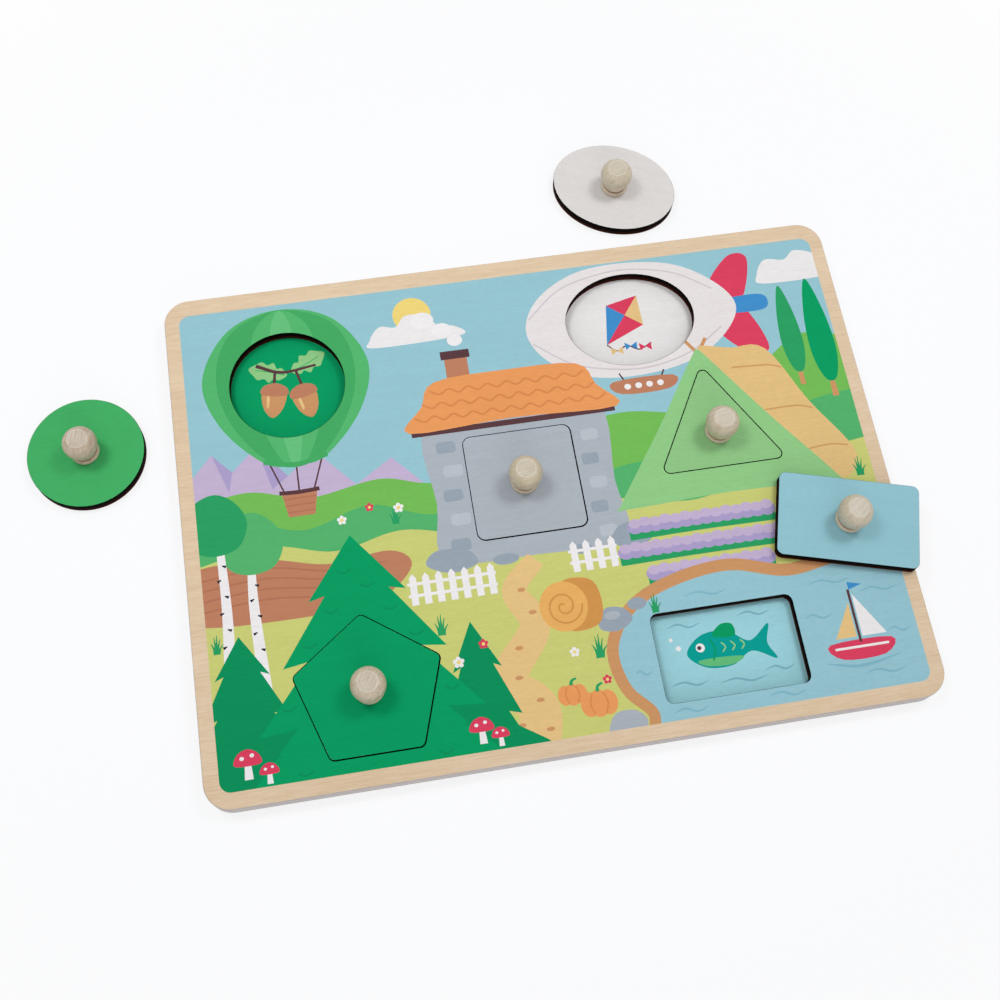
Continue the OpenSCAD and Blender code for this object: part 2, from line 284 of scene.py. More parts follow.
# Every shaped piece: its outline, where its plate's centre lies, the height of its underside, its
# turn, the centre of its cut-out, and its ink
pieces = {
    "circle": {"outline": ovalOutline, "size": (49.2, 49.2), "at": (-187.9, 47.5), "foot": 0, "turn": 0,
               "home": (-99.84, 64.325), "ink": "#44b066", "inkName": "mid green"},
    "oval": {"outline": ovalOutline, "size": (57.5, 44.7), "at": (61.6, 146.0155), "foot": 0, "turn": -24.4,
             "home": (54.12, 74.115), "ink": "#dedad9", "inkName": "pinkish white"},
    "triangle": {"outline": polygonOutline, "size": (3, 55.4, 2.5), "at": (80.55, 15.019), "foot": 5, "turn": 0,
                 "home": (80.55, 15.019), "ink": "#90c687", "inkName": "light green"},
    "square": {"outline": rectangleOutline, "size": (46.7, 46.7, 3.5), "at": (-5.68, 4.8), "foot": 5, "turn": 0,
               "home": (-5.58, 4.65), "ink": "#adb5be", "inkName": "grey"},
    "pentagon": {"outline": polygonOutline, "size": (5, 36.9, 2.5), "at": (-81.7, -73.431), "foot": 5, "turn": 0,
                 "home": (-81.6, -73.581), "ink": "#009c62", "inkName": "dark green"},
    "rectangle": {"outline": rectangleOutline, "size": (59.7, 36.8, 3), "at": (125.7, -34.4), "foot": 10,
                  "turn": -15.4, "home": (65.01, -79.232), "ink": "#94c5d2", "inkName": "light blue"},
}
cutGap = 0.25
knobRight = {"triangle": 0.8}  # how far a knob stands to the right of its plate's centre


# A piece's outline in its cut-out, moved out by gap
def homeOutline(piece, gap):
    return piece["outline"](piece["size"], gap) + piece["home"]


# Shapes of the printed picture

# Centre plus cosine and sine of an angle, times the half axes
def ellipse(x, y, rx, ry, steps=40):
    a = np.linspace(0, 2 * np.pi, steps, endpoint=False)
    return np.stack([x + rx * np.cos(a), y + ry * np.sin(a)], 1)


# Catmull-Rom curve through the points: each span blends its two ends and their neighbours
def smooth(points, closed=True, steps=7):
    p = np.array(points, float)
    if not closed:
        p = np.vstack([2 * p[0] - p[1], p, 2 * p[-1] - p[-2]])
    before, start, end, after = (np.roll(p, k, 0) for k in (1, 0, -1, -2))
    t = np.linspace(0, 1, steps, endpoint=False)[None, :, None]
    b, s, e, a = (q[:, None, :] for q in (before, start, end, after))
    curve = 0.5 * (2 * s + (e - b) * t + (2 * b - 5 * s + 4 * e - a) * t ** 2 + (3 * s - b - 3 * e + a) * t ** 3)
    if closed:
        return curve.reshape(-1, 2)
    return np.vstack([curve[1:-2].reshape(-1, 2), p[-2:-1]])


# The right half of a shape, from its top down, and after it the mirror image about x = 0 from its foot up
def mirrored(points):
    right = np.array(points, float)
    left = right[right[:, 0] > 0][::-1] * [-1, 1]
    return np.vstack([right, left])


# A brush stroke: the path moved half its width to either side. The width runs evenly from width to endWidth,
# or swells in the middle by a power of the sine of the way along.
def stroke(points, width, endWidth=None, steps=7, bulge=False):
    path = smooth(points, False, steps) if len(points) > 2 else np.array(points, float)
    along = np.gradient(path, axis=0)
    side = np.stack([along[:, 1], -along[:, 0]], 1)
    side = side / np.maximum(np.linalg.norm(side, axis=1, keepdims=True), 1e-9)
    t = np.linspace(0, 1, len(path))[:, None]
    widths = width + ((endWidth or width) - width) * t
    if bulge:
        widths = width * np.maximum(np.sin(np.pi * np.clip(t, 0.04, 0.96)) ** 0.6, 0.06)
    return np.vstack([path + side * widths / 2, (path - side * widths / 2)[::-1]])


# A ripple on the water: one stroke that reaches w to either side
def ripple(w):
    return stroke([(-w, 0), (-w / 3, 1), (w / 3, -0.8), (w, 0.4)], 0.9, bulge=True)


artLow = -112  # just below the printed picture


# Land below a smooth skyline, closed along the bottom of the print
def hill(points):
    line = smooth(points, False, 8)
    return np.vstack([line, [line[-1][0], artLow], [line[0][0], artLow]])


# Turned, then moved to x and y
def shifted(points, x, y, turn):
    return turned(np.array(points, float), turn) + [x, y]


# A fir's outline: tiers that widen downwards to the foot of the print, each with a notch back in
def firOutline(x, top, halfWidths):
    n = len(halfWidths)
    notchIn, notchUp = 0.66, 1.6
    levels = top + (artLow - top) * np.arange(1, n + 1) / n
    right = np.stack([np.repeat(np.array(halfWidths, float), 2) * np.tile([1, notchIn], n),
                      np.repeat(levels, 2) + np.tile([0, notchUp], n)], 1)[:-1]
    return np.vstack([[[0, top]], right, right[::-1] * [-1, 1]]) + [x, 0]


# A tuft of grass at the origin: five bent strokes that taper to the same width at any size s
def tuft(s):
    blades = (-0.9, 6, -2.6), (-0.4, 9, -0.9), (0.1, 10, 0.6), (0.6, 8, 2.2), (1.0, 5, 3.6)
    return [stroke([(a, 0), ((a + c) * 0.4, b * 0.55), (c, b)], 1.5, 0.25 / s, 4) for a, b, c in blades]


inks = {"sky": "#96c5d2", "water": "#97c6d3", "ripple": "#82b7c8", "cloud": "#ebe8ea", "airship": "#e6e0e1",
        "airshipLine": "#cfc8ce", "meadow": "#cbcf79", "leaf": "#74bc58", "hill": "#55b36e",
        "balloon": "#55b670", "balloonDark": "#45a963", "balloonLight": "#66c07d", "fir": "#009d62",
        "firDeep": "#04905b", "tent": "#92cb89", "canvas": "#e3c083", "canvasLine": "#cf9f67",
        "brown": "#be8062", "earth": "#b3745a", "tan": "#cd9666", "sand": "#e6c387", "stone": "#acb4be",
        "stoneDark": "#98a5b2", "stoneLight": "#b9c0c9", "roof": "#ea9c5f", "roofLine": "#d98a52",
        "dark": "#5a3c41", "lilac": "#c3b2d2", "lilacDark": "#ab9ecb", "teal": "#009f96", "red": "#dc4160",
        "blue": "#418fcd", "white": "#efecee", "sun": "#f0d67c", "straw": "#e8b064", "strawLine": "#d29550",
        "grass": "#2b9f63", "black": "#2c2c38", "kiteGround": "#e9e6e7", "fishGround": "#a0d7e2"}


# Lays outlines in one ink over what is drawn so far, size times as large and moved by at
def addInk(art, ink, *outlines, at=(0, 0), size=1):
    art.extend((inks[ink], np.asarray(outline, float) * size + at) for outline in outlines)


# A flower: round petals on a circle of radius r, the first one at the top, and a round heart
def putFlower(put, x, y, r, petals, colour):
    for a in np.radians(np.arange(petals) * 360 / petals + 90):
        put(colour, ellipse(math.cos(a), math.sin(a), 0.62, 0.62, steps=12), at=(x, y), size=r)
    put("sun", ellipse(0, 0, 0.55, 0.55, steps=12), at=(x, y), size=r)


# The picture on the top sheet, from back to front
def boardPicture():
    art = []
    put = partial(addInk, art)

    # sky, sun, clouds and far hills
    put("sky", [(-150, artLow), (150, artLow), (150, 112), (-150, 112)])
    put("sun", ellipse(-42, 90, 8.5, 8.5))
    put("cloud", smooth([(-62, 80), (-57, 86), (-50, 85), (-45, 90), (-36, 89), (-31, 83), (-24, 82), (-22, 77),
                         (-60, 76)]))
    put("cloud", smooth([(116, 88), (121, 95), (130, 94), (136, 98), (146, 94), (150, 84), (118, 83)]))
    put("lilac", [(-146, 6), (-146, 24), (-135, 36), (-127, 27), (-116, 37), (-104, 22), (-92, 32), (-76, 14),
                  (-60, 24), (-42, 4)])
    put("lilacDark", [(-135, 36), (-129, 18), (-127, 27)], [(-116, 37), (-111, 17), (-104, 22)])
    put("leaf", hill([(-150, 12), (-122, 17), (-96, 11), (-66, 15), (-40, 10), (0, 22), (40, 30), (78, 26),
                      (108, 44), (128, 56), (150, 52)]))
    put("hill", hill([(-150, 0), (-126, 5), (-100, -3), (-72, 4), (-46, -4), (-20, 2), (10, -4), (40, 6),
                      (90, 4), (120, 22), (150, 27)]))
    put("meadow", hill([(-150, -14), (-116, -8), (-88, -14), (-60, -9), (-30, -15), (0, -12), (34, -9),
                        (66, -14), (110, -2), (150, 4)]))

    # slim trees on the hill to the right
    for x, y, s, colour in ((124, 34, 0.84, "grass"), (137, 27, 1.0, "fir")):
        part = partial(put, at=(x, y), size=s)
        part("tan", stroke([(0, -3), (0, 12)], 2.8, 1.6 / s))
        part(colour, smooth(mirrored([(0, 56), (4.4, 40), (5.8, 20), (2.6, 6)])))

    # hot-air balloon round the circle
    balloon = partial(put, at=(-100, 0))
    balloon("dark", stroke([(-12, 31), (-6, 14)], 0.7), stroke([(12, 31), (6, 14)], 0.7),
            stroke([(0, 30), (0, 14)], 0.7))
    balloon("balloon", smooth(mirrored([(0, 101), (23, 93.5), (36, 71), (30, 48), (13, 29), (0, 26.5)])))
    for k, colour in ((1, "balloonDark"), (0.52, "balloon"), (0.2, "balloonLight")):
        balloon(colour, smooth(mirrored([(0, 100.5), (22 * k, 92), (30 * k, 71), (25 * k, 48), (9 * k, 28)])))
    balloon("balloonDark", stroke([(-13.5, 29.6), (0, 26.8), (13.5, 29.6)], 2.2))
    balloon("brown", [(-7.5, 14.5), (-5.5, 3.5), (5.5, 3.5), (7.5, 14.5)])
    balloon("dark", stroke([(-8.4, 14.6), (0, 14.2), (8.4, 14.6)], 1.8))
    for k in range(3):
        balloon("earth", stroke([(0.5 * k - 6.6, 11.6 - 3 * k), (6.6 - 0.5 * k, 11.6 - 3 * k)], 0.7))

    # airship round the oval
    put("red", smooth([(92, 84), (104, 99), (113, 98), (110, 84), (104, 76)]),
        smooth([(92, 64), (104, 50), (113, 51), (110, 65), (104, 73)]))
    put("blue", smooth([(92, 77), (110, 78.6), (117, 77), (117, 71.6), (110, 70), (92, 71.4)]))
    put("airship", smooth([(7, 74), (14, 89), (32, 100), (55, 102.6), (78, 99), (95, 88), (103, 74.4), (95, 61),
                           (78, 50.5), (55, 46.4), (32, 48.5), (14, 59)]))
    put("airshipLine", stroke([(9, 80), (24, 92.4), (40, 97.6), (58, 99), (78, 94.4), (94, 84)], 0.7),
        stroke([(9, 68), (24, 56.4), (40, 51.2), (58, 49.6), (78, 54.4), (94, 64.6)], 0.7))
    put("dark", stroke([(44, 48.4), (46, 44)], 0.7), stroke([(64, 47.6), (62, 44)], 0.7))
    put("brown", smooth([(40.5, 44.6), (67.5, 44.6), (65, 38.4), (43.5, 38.4)], True, 4))
    put("white", *[ellipse(46.6 + 4.9 * k, 41.6, 1.5, 1.4, steps=14) for k in range(4)])

    # ploughed field and birches on the left
    put("brown", smooth([(-152, -16), (-120, -13), (-92, -19), (-66, -17), (-58, -25), (-74, -37), (-110, -40),
                         (-152, -36)]))
    put("earth", *[stroke([(-150, -19.6 - 4.4 * k), (-118, -17 - 4.4 * k), (-90, -22.2 - 3.6 * k),
                           (-68 - 3 * k, -21.4 - 3 * k)], 1.0, 0.5) for k in range(4)])
    for x, lean, high, marks, colour in ((-122, -1.5, -12, 6, "hill"), (-136, 1.5, -2, 7, "grass")):
        birch = partial(put, at=(x, high))
        birch("white", stroke([(0, -70 - high), (lean, -34 - high), (lean * 0.6, 0)], 5.2, 3))
        for k, depth in enumerate((12, 18, 25, 32, 39, 46, 53)[:marks]):
            side = 1 - 2 * (k % 2)
            birch("black", stroke([(lean / 2 + 2 * side, -depth), (lean / 2 + 0.4 * side, 0.7 - depth)], 1.3, 0.4))
        birch(colour, smooth([(-12, 0), (-14, 8), (-8, 17), (1, 20), (9, 15), (13, 6), (9, -4), (0, -7), (-8, -5)]))

    # stone cottage round the square
    put("brown", [(-31, 50), (-31, 68), (-21, 68), (-21, 50)])
    put("dark", [(-32.4, 66), (-32.4, 70), (-19.6, 70), (-19.6, 66)])
    put("white", ellipse(-25, 75, 3.4, 2.8), ellipse(-30, 80.6, 4.4, 3.5), ellipse(-38, 86.6, 5.2, 4))
    put("stone", smooth([(-43.5, -25), (-43.8, 0), (-43.2, 36), (0, 37), (32.2, 36), (32.6, 0), (32.2, -26),
                         (-6, -28)], True, 5))
    for k, y in enumerate((-19, -8, 3, 14, 25)):
        left, right = ("stoneLight", "stoneDark") if k % 2 else ("stoneDark", "stoneLight")
        put(left, rectangleOutline((8.4, 5.2, 1.6)) + [-36.4 + 1.6 * (k % 2), y])
        put(right, rectangleOutline((7.4, 5.2, 1.6)) + [25.6 - 1.6 * (k % 2), y - 3])
    put("stoneDark", smooth([(-52, -26), (-48, -20.6), (-40, -20.4), (-33, -22.6), (-31, -28), (-42, -30.6)]),
        smooth([(26, -27), (30, -21), (37, -20), (43, -24), (42, -29), (33, -31)]),
        ellipse(-19, -28, 5.5, 2.4), ellipse(13, -28.4, 4.6, 2.2))
    put("dark", stroke([(-50, 32.6), (39, 32.6)], 2.6))
    put("roof", smooth([(-51, 33.4), (-44, 45), (-37, 56), (-5.6, 57.6), (26, 56), (33, 45), (40, 33.4),
                        (-5.6, 34.6)], True, 4))
    for y, half in ((39, 42), (45, 38), (51, 34)):
        x = np.linspace(-half, half, 2 * int(half / 4.2) + 1)
        put("roofLine", stroke(np.stack([x - 5.6, y + 1.1 * np.cos(np.arange(len(x)) * np.pi)], 1), 0.9, steps=4))

    # path from the door
    put("sand", stroke([(-7, -30), (-18, -42), (-12, -58), (-26, -78), (-16, -92), (-22, artLow)], 8, 19))
    stones = ((-15, -42), (-12, -52), (-20, -66), (-22, -78), (-15, -88), (-24, -97), (-13, -100))
    put("tan", *[ellipse(x, y, 1.7, 0.9, steps=12) for x, y in stones])

    # tent round the triangle
    put("tan", stroke([(76, 60), (84.6, 47)], 1.6), stroke([(85.6, 60), (77, 47)], 1.6))
    put("canvas", smooth([(80.5, 54), (96, 53.6), (111, 51), (124, 24), (139, -4), (126, -13), (104, 20)], True, 5))
    put("canvasLine", *[stroke(seam, 0.8, steps=4) for seam in (
        [(94, 44), (110, 43), (116, 41)], [(104, 22), (118, 22), (125, 20)], [(116, 1), (128, 2), (136, 0.6)])])
    put("tent", smooth([(80.5, 54.8), (84, 51), (105, 20), (128, -12), (126, -14.4), (80, -13), (35, -14.4),
                        (33, -12), (56, 20), (77, 51)], True, 5))

    # lavender in rows before the tent
    for y, x0, n in ((-23, 37, 14), (-33.4, 31, 16), (-44, 41, 12)):
        x = x0 + 4.4 * np.arange(n)
        put("grass", stroke([(x0 - 3, y - 2.6), (x0 + 30, y - 2.2), (x[-1] + 3, y - 2.6)], 5))
        put("lilacDark", *[ellipse(a, y + 0.4, 3.6, 3, steps=16) for a in x])
        put("lilac", *[ellipse(a, y + 2 + 0.5 * (k % 2), 2.7, 2.1, steps=14) for k, a in enumerate(x)])

    # river with a sandy bank round the rectangle
    shore = [(152, -52), (122, -50), (96, -53), (72, -47), (48, -50), (30, -58), (20, -72), (22, -88),
             (31, -100), (28, -114)]
    put("tan", stroke(shore, 11, 9))
    put("water", np.vstack([smooth(shore, False, 8), [(152, -114)]]))
    for x, y, w in ((112, -58, 9), (132, -64, 8), (104, -72, 6), (28, -84, 3.4), (60, -55, 9), (84, -101, 8),
                    (126, -98, 9), (136, -82, 5), (44, -101.5, 7)):
        put("ripple", ripple(w), at=(x, y))
    put("stoneDark", smooth([(14, -60), (18, -55), (25, -56), (28, -61), (22, -65), (15, -64)]),
        ellipse(31, -55, 4, 2.6))
    put("stone", ellipse(20, -58.4, 3.4, 1.8),
        smooth([(10, -104), (14, -98), (22, -98), (26, -103), (22, -108), (12, -108)]))

    # small sailing boat
    boat = partial(put, at=(119, -85))
    boat("ripple", stroke([(-16, -7), (-2, -9.6), (15, -7)], 1.3, bulge=True))
    boat("red", smooth([(-13, 0.4), (13, 0.4), (9, -6.2), (-9, -6.2)], True, 4))
    boat("white", stroke([(-11.4, -1.8), (11.4, -1.8)], 1.0))
    boat("dark", stroke([(0, 0), (0, 22.4)], 1.1))
    boat("white", [(1.2, 2.4), (11.6, 2.4), (1.2, 20.4)])
    boat("sand", [(-1.2, 2.4), (-10, 2.4), (-1.2, 17)])
    boat("blue", [(0.4, 25.6), (6.4, 24), (0.4, 22.2)])

    # straw bale, fences and pumpkins
    put("strawLine", smooth([(2, -41), (14, -42), (17, -52), (14, -61), (2, -62), (-2, -52)], True, 6))
    put("straw", ellipse(1, -51.6, 10, 10.6))
    a = np.linspace(1, 4 * np.pi, 30)
    put("strawLine", stroke(np.stack([0.62 * a * np.cos(a), 0.64 * a * np.sin(a)], 1), 0.8, steps=2), at=(1, -51.6))
    for x, y, n in ((-60, -42, 7), (8, -38, 4)):
        fence = partial(put, at=(x, y))
        fence("white", *[stroke([(-1, z), (5.4 * n - 2, z)], 1.3) for z in (4, 9)])
        slat = np.array([(0, 0), (2.9, 0), (2.9, 11.6), (1.45, 13.4), (0, 11.6)])
        fence("white", *[slat + [5.4 * k, 0] for k in range(n)])
    for x, y, s in ((-2, -88, 1.0), (8, -93, 1.25)):
        pumpkin = partial(put, at=(x, y), size=s)
        pumpkin("roof", ellipse(-3, 0, 3, 4), ellipse(3, 0, 3, 4), ellipse(0, 0, 3.4, 4.4))
        pumpkin("roofLine", *[stroke([(side * 1.8, 3.4), (side * 2.8, 0), (side * 1.8, -3.4)], 0.6 / s)
                              for side in (-1, 1)])
        pumpkin("grass", stroke([(0, 3.8), (0.6 / s, 5.6), (2.6 / s, 6.4)], 1.5 / s, 0.8 / s))

    # firs round the pentagon
    put("firDeep", smooth([(-150, -86), (-128, -82), (-100, -85), (-66, -83), (-40, -86), (-27, -95),
                           (-17, -114), (-150, -114)]))
    put("firDeep", firOutline(-131, -44, (11, 17, 23, 28)), firOutline(-38, -52, (10, 15, 20)))
    put("fir", firOutline(-81.7, -8, (20, 33, 45, 55)))
    for at in ((-86, -24), (-77, -31), (-93, -40), (-69, -42), (-103, -53), (-60, -54), (-114, -77), (-49, -78),
               (-122, -95), (-43, -94), (-110, -103), (-55, -103)):
        put("firDeep", stroke([(-3, 1.4), (0, 0), (3, 1.4)], 0.8, steps=4), at=at)

    # mushrooms, tufts and flowers
    for x, y, s in ((-132, -97, 1.0), (-124, -101, 0.7), (-40, -98, 0.9), (-33, -101, 0.65)):
        part = partial(put, at=(x, y), size=s)
        part("white", stroke([(0, -4), (0, 3)], 3.4, 2.4))
        part("red", smooth(mirrored([(0, 7.8), (4, 6), (5.4, 2), (0, 1.2)])))
        part("white", ellipse(-2.2, 4.4, 0.9, 0.8, steps=10), ellipse(1.8, 5.2, 0.9, 0.8, steps=10))
    for x, y, s in ((-62, -6, 0.8), (38, -60, 0.8), (-50, -56, 0.9), (12, -75, 1.0), (138, -14, 0.9),
                    (-140, -50, 0.8), (141, -50, 0.7)):
        put("grass", *tuft(s), at=(x, y), size=s)
    for x, y, r, colour in ((-45, -68, 1.5, "white"), (-34, -62, 1.3, "red"), (2, -71, 1.3, "white"),
                            (13, -84, 1.2, "red"), (-60, 1, 1.4, "white"), (-72, 3, 1.2, "red"),
                            (-84, -1, 1.3, "white")):
        putFlower(put, x, y, r, 5, colour)
    return art


groundMargin = 1.2  # how far the grounds of the small pictures reach under the top sheet


# The small pictures under the plates, each drawn from the middle of its cut-out
def hiddenPictures():
    art = []

    def ground(name, colour):
        put = partial(addInk, art, at=pieces[name]["home"])
        put(colour, pieces[name]["outline"](pieces[name]["size"], groundMargin))
        return put

    # circle: two acorns and two oak leaves on a twig
    put = ground("circle", "fir")
    leaf = mirrored([(0, 16), (3, 13), (4.4, 11), (3.4, 8.4), (4.8, 6), (2.4, 4), (3, 2), (0, -1)])
    for turn, x, y in ((72, -1, 7), (-64, 3, 8.4)):
        put("tent", smooth(shifted(leaf, x, y, turn)))
        put("hill", stroke(shifted([(0, 0), (0.3, 6), (0, 13)], x, y, turn), 0.8, 0.4))
    put("dark", stroke([(-13, 13), (-2, 8.4), (13, 10)], 1.7, 1.1), stroke([(-5, 9), (-6, 3)], 1.2),
        stroke([(4, 8.6), (6, 1)], 1.2))
    nut = [(-4.6, 1), (4.6, 1), (4.9, -4), (3, -8.4), (0, -10.8), (-3, -8.4), (-4.9, -4)]
    gleam = [(-3.1, -1), (-2, -1), (-1.8, -5.4), (-2.7, -6)]
    cup = mirrored([(0, 5.8), (5, 4), (5.8, 0.4), (0, -0.6)])
    for x, y, turn in ((-6.4, -2, -10), (6.6, -4, 12)):
        for colour, shape in (("tan", nut), ("sand", gleam), ("brown", cup)):
            put(colour, smooth(shifted(shape, x, y, turn)))

    # oval: a kite with bows on its tail
    put = ground("oval", "kiteGround")
    tip, right, tail, left, mid = shifted([(0, 15), (9.5, 3.4), (0, -14), (-9.5, 3.4), (0, 3.4)], -3, 2, -38)
    for colour, corners in (("red", (tip, left, mid)), ("sand", (tip, mid, right)), ("blue", (left, tail, mid)),
                            ("red", (mid, tail, right))):
        put(colour, corners)
    put("dark", stroke(tail + [(0, 0), (4, -3.4), (9, -1.4), (14, -4), (20, -1.4)], 0.6))
    for (x, y), colour in (((4, -3.4), "sand"), ((10.6, -1.8), "blue"), ((17, -3), "red")):
        knot = tail + [x, y]
        put(colour, knot + [(0, 0), (-2.8, 2), (-2.4, -1.8)], knot + [(0, 0), (2.8, 1.8), (2.6, -2)])

    # rectangle: a fish in the water
    put = ground("rectangle", "fishGround")
    put("teal", smooth([(-17, 1), (-10, 8), (1, 8.6), (10, 3), (19, 9), (17, 1), (19.6, -6), (10, -1.4),
                        (1, -6), (-10, -5.4)]))
    put("balloonLight", smooth([(-13, -2.4), (-4, -2), (6, -3), (1, -5.6), (-9, -5)]))
    put("fir", smooth([(-5, 7), (-1, 11.4), (4, 11), (4, 6)]), stroke([(-6.4, 6), (-5, 1.6), (-6.6, -3)], 0.7))
    put("white", ellipse(-11, 3, 1.9, 1.9, steps=16))
    put("dark", ellipse(-11.4, 3, 0.9, 0.9, steps=12))
    put("tent", *[stroke([(a, 4), (a + 1.4, 2), (a, 0)], 0.6) for a in (-2, 2, 6)])
    put("white", ellipse(-20, 4, 1.1, 1.1, steps=12), ellipse(-22.4, 8, 0.8, 0.8, steps=12))
    for x, y, w in ((-18, -11, 8), (4, -12.6, 10), (20, -10, 6), (-16, 13, 7), (14, 14, 7)):
        put("ripple", ripple(w) + [x, y])

    # square: a mushroom. triangle: a daisy. pentagon: a butterfly.
    put = ground("square", "stone")
    put("white", smooth([(-4, 2), (4, 2), (5, -13), (-5, -13)], True, 4))
    put("red", smooth(mirrored([(0, 14.6), (12, 9), (15, 1), (0, -1)])))
    put("white", ellipse(-7, 6, 2.2, 2), ellipse(2, 9, 2.4, 2.1), ellipse(8.6, 4, 1.8, 1.6))
    put = ground("triangle", "tent")
    put("grass", stroke([(0, 2), (1, -8), (-1, -14)], 1.6))
    x, y = pieces["triangle"]["home"]
    putFlower(put, x, y + 5, 5, 8, "white")
    put = ground("pentagon", "fir")
    for side in (-1, 1):
        put("straw", smooth([(0, 2), (side * 6, 12), (side * 14, 13), (side * 15, 5), (side * 7, 0)]))
        put("lilac", smooth([(0, 0), (side * 8, -1), (side * 12, -7), (side * 7, -13), (side * 2, -7)]))
        put("dark", stroke([(0, 7), (side * 2, 12), (side * 5, 15)], 0.7))
    put("dark", ellipse(0, 0, 1.5, 9))
    return art


# Meshes

# Puts arrays into a new object: points in mm, faces as lists, one material number a face, and values as
# attributes, each with its domain. Edges sharper than sharp degrees stay hard.
def makePiece(name, points, faces, materials, faceMaterial=None, values=None, sharp=35):
    mesh = bpy.data.meshes.new(name)
    mesh.from_pydata((np.asarray(points) * mm).tolist(), [], faces)
    for material in materials:
        mesh.materials.append(material)
    if faceMaterial is not None:
        mesh.polygons.foreach_set("material_index", np.asarray(faceMaterial, np.int32))
    for key, (domain, data) in (values or {}).items():
        data = np.asarray(data, np.float32)
        kind, field = ("FLOAT_COLOR", "color") if data.ndim == 2 else ("FLOAT", "value")
        mesh.attributes.new(key, kind, domain).data.foreach_set(field, data.ravel())
    mesh.shade_smooth()
    mesh.set_sharp_from_angle(angle=math.radians(sharp))
    mesh.update()
    piece = bpy.data.objects.new(name, mesh)
    scene.collection.objects.link(piece)
    return piece


# Quads between neighbouring rings of a grid whose rows close on themselves. closeAll joins the last
# row to the first, which makes a closed tube of any cross-section.
def gridQuads(rows, columns, closeAll=False):
    r = np.arange(rows if closeAll else rows - 1)[:, None]
    c = np.arange(columns)[None, :]
    here, below = r * columns, (r + 1) % rows * columns
    right = (c + 1) % columns
    return np.stack([here + c, below + c, below + right, here + right], 2).reshape(-1, 4)


# cutReach is the attribute fromEdge at the rim of a cut-out, and guideInset lies just within the eased rim
board = {"length": 300, "width": 222.5, "sheet": 5, "cornerRadius": 11, "rim": 0.8, "rimSteps": 7,
         "printLow": (-143.57, -104.74), "printHigh": (143.87, 103.45), "printRadius": 4.5,
         "guideInset": 1.1, "scorch": 0.12, "cutReach": 0.3}


# Splits the plane into triangles along every outline, and keeps those in the sheet and in no hole.
# Each takes the colour of the last outline that covers it. Every guide but the first bounds a hole's scorched rim.
def paintedTriangles(sheet, window, holes, guides, art):
    loops = [sheet, window] + holes + guides + [outline for colour, outline in art]
    starts = np.cumsum([0] + [len(loop) for loop in loops])
    faces = []
    for loop, start in zip(loops, starts):
        x, y = loop[:, 0], loop[:, 1]
        area = np.dot(x, np.roll(y, -1)) - np.dot(y, np.roll(x, -1))
        order = np.arange(start, start + len(loop))
        faces.append((order if area > 0 else order[::-1]).tolist())
    points, _, triangles, _, _, owners = delaunay_2d_cdt(np.vstack(loops).tolist(), [], faces, 1, 1e-4)

    # the outlines over each triangle follow each other in one array, from that triangle's begin
    counts = np.array([len(owner) for owner in owners])
    covered = counts > 0
    every = np.concatenate(owners).astype(int)
    begin = (np.cumsum(counts) - counts)[covered]

    def has(first, end):
        return np.logical_or.reduceat((every >= first) & (every < end), begin)

    firstGuide = 2 + len(holes)
    firstArt = firstGuide + len(guides)
    top = np.maximum.reduceat(every, begin)
    kept = has(0, 1) & ~has(2, firstGuide)
    printed = (has(1, 2) & (top >= firstArt))[kept]
    scorched = has(firstGuide + 1, firstArt)[kept]
    shades = np.array([linear(colour) for colour, outline in art])
    colours = np.where(printed[:, None], shades[np.maximum(top[kept] - firstArt, 0)], 1.0)
    used, flat = np.unique(np.array(triangles)[covered][kept], return_inverse=True)
    points = np.array([tuple(p) for p in points])
    return points[used], flat.reshape(-1, 3), colours, printed * 1.0, scorched * 1


# Edges that only one triangle has, each with the sheet on its left
def openEdges(triangles):
    edges = np.vstack([triangles[:, [0, 1]], triangles[:, [1, 2]], triangles[:, [2, 0]]]).astype(np.int64)
    span = triangles.max() + 1
    return edges[~np.isin(edges[:, 0] * span + edges[:, 1], edges[:, 1] * span + edges[:, 0])]


